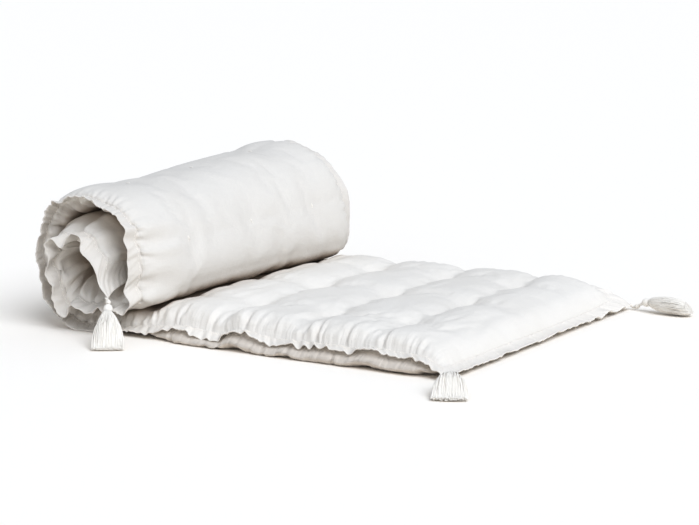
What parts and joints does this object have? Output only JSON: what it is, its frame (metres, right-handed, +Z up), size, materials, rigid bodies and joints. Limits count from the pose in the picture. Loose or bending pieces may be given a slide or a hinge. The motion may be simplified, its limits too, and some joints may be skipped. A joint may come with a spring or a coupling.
{
  "type": "rolled floor mattress",
  "caption": "Cotton floor mattress rolled up half way: a flat quilted end, a loose roll with an open middle, a flat border all round and a tassel on every corner.",
  "frame": {"origin": "on the floor, in the middle of the flat spot under the roll, half way across the mattress", "axes": "+X along the mattress towards its flat end, +Y across it towards the roll's far end, +Z up"},
  "size_m": [1.0363, 0.8681, 0.2828],
  "materials": {
    "cotton_cloth": "matte",
    "cotton_yarn": "matte"
  },
  "bodies": {
    "root": {"mattress": "cotton_cloth", "tassel_flat_near": "cotton_yarn", "tassel_flat_far": "cotton_yarn", "tassel_roll_near": "cotton_yarn", "tassel_roll_far": "cotton_yarn"}
  },
  "joints": []
}
